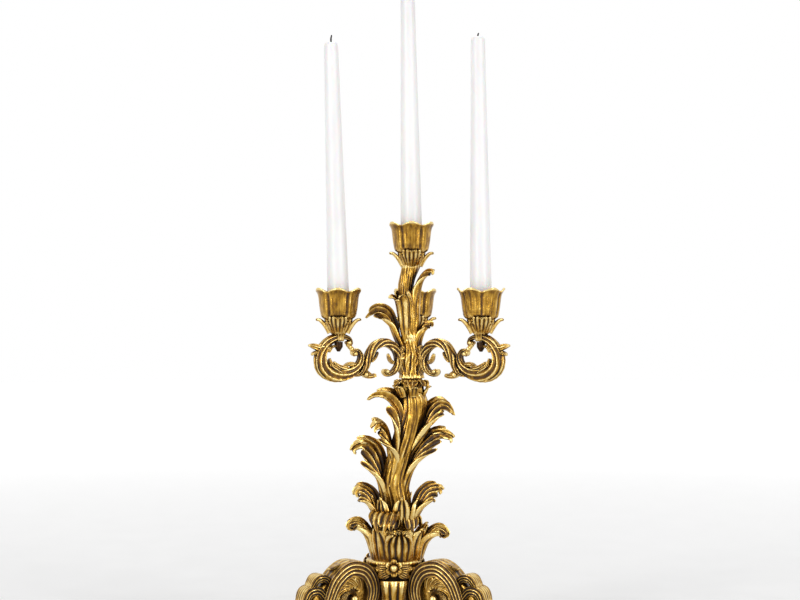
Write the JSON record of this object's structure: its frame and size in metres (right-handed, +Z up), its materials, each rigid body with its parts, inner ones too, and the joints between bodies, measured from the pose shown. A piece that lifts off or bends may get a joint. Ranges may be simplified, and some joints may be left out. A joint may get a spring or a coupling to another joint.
{
  "type": "candelabrum",
  "caption": "Gilt rococo candle holder on scroll legs: leafy S-curved stem, scroll arms and petalled cups, with tapers that lift out of their sockets.",
  "frame": {"origin": "on the floor, in the middle of the base felt's underside, under the axis of the base", "axes": "+Z up along the stem, +X to the right seen from the front, +Y away from the viewer, towards the rear arm"},
  "size_m": [0.2201, 0.1865, 0.6749],
  "materials": {
    "gilt": "antique gold over a dark patina",
    "dark_nut": "dark patina",
    "steel": "plain",
    "felt": "felt",
    "wax": "satin wax",
    "wick": "charred cord"
  },
  "bodies": {
    "holder": {"acorn_nuts": "dark_nut", "arm_grub_screws": "steel", "arm_left": "gilt", "arm_rear": "gilt", "arm_right": "gilt", "base_body": "gilt", "base_felt": "felt", "base_plate": "gilt", "bracket_front": "gilt", "bracket_left": "gilt", "bracket_right": "gilt", "bracket_screws": "steel", "branch_leaf_front": "gilt", "branch_leaf_left": "gilt", "branch_leaf_lower": "gilt", "branch_leaf_upper": "gilt", "calyx_centre": "gilt", "calyx_left": "gilt", "calyx_rear": "gilt", "calyx_right": "gilt", "centre_branch": "gilt", "centre_cup_screw": "steel", "collar": "gilt", "cup_bolts": "steel", "cup_centre": "gilt", "cup_left": "gilt", "cup_rear": "gilt", "cup_right": "gilt", "foot_screws": "steel", "hub": "gilt", "hub_stud": "steel", "leaf_left_high": "gilt", "leaf_left_low": "gilt", "leaf_left_mid": "gilt", "leaf_right_high": "gilt", "leaf_right_low": "gilt", "leg_left": "gilt", "leg_rear": "gilt", "leg_right": "gilt", "leg_screws": "steel", "lower_leaf_vase": "gilt", "rosette_front": "gilt", "rosette_left": "gilt", "rosette_right": "gilt", "stem_bolt": "steel", "stem_nut": "steel", "stem_washer": "steel", "trunk": "gilt", "upper_leaf_cup": "gilt"},
    "candle_left": {"candle_left": "wax", "wick_left": "wick"},
    "candle_right": {"candle_right": "wax", "wick_right": "wick"},
    "candle_centre": {"candle_centre": "wax", "wick_centre": "wick"}
  },
  "joints": [
    {"name": "candle_left_lift", "type": "slide", "parent": "holder", "child": "candle_left", "axis": [-0.0288, 0, 0.9996], "range_m": [0, 0.06]},
    {"name": "candle_right_lift", "type": "slide", "parent": "holder", "child": "candle_right", "axis": [-0.0115, 0, 0.9999], "range_m": [0, 0.06]},
    {"name": "candle_centre_lift", "type": "slide", "parent": "holder", "child": "candle_centre", "axis": [-0.0157, 0, 0.9999], "range_m": [0, 0.06]}
  ]
}
